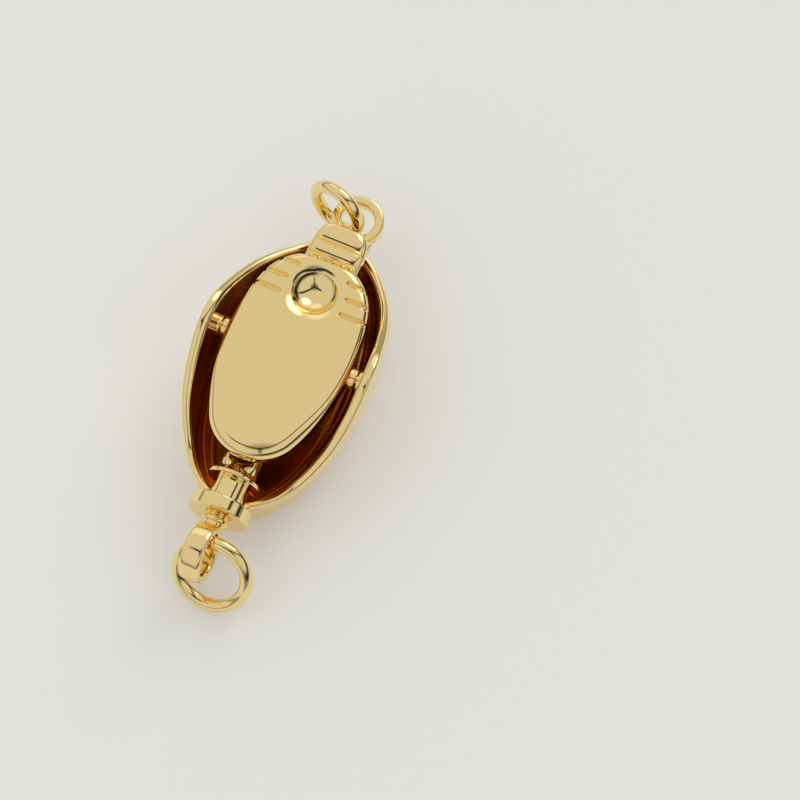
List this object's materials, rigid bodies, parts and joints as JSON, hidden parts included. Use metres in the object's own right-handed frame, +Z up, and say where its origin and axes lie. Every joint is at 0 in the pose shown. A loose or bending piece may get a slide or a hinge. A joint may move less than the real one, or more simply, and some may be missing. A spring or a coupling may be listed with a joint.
{
  "type": "clasp",
  "caption": "Oval connector clasp: a deep domed cup with a rocking thumb lever across its back, a turned swivel post, a fixed eye and jump rings.",
  "frame": {"origin": "lowest point of the domed front face, where the clasp rests lying on its front", "axes": "+Y towards the fixed eye, -Y towards the swivel post, +X along the hinge pin, +Z up out of the open back past the lever"},
  "size_m": [0.0108, 0.0263, 0.007],
  "materials": {
    "gold_plate": "polished gold plate"
  },
  "bodies": {
    "shell": {"shell": "gold_plate", "hinge_pin": "gold_plate", "fixed_end_jump_ring": "gold_plate"},
    "lever": {"lever": "gold_plate"},
    "post": {"swivel_post": "gold_plate", "swivel_end_jump_ring": "gold_plate"}
  },
  "joints": [
    {"name": "lever_hinge", "type": "hinge", "parent": "shell", "child": "lever", "pos_m": [0, 0.0006, 0.0049], "axis": [-1, 0, 0], "range_deg": [0, 6], "stiffness_Nm_per_rad": 0.001, "springref_deg": -1.72},
    {"name": "post_swivel", "type": "hinge", "parent": "shell", "child": "post", "pos_m": [0, -0.0089, 0.0032], "axis": [0, 1, 0], "continuous": true}
  ]
}
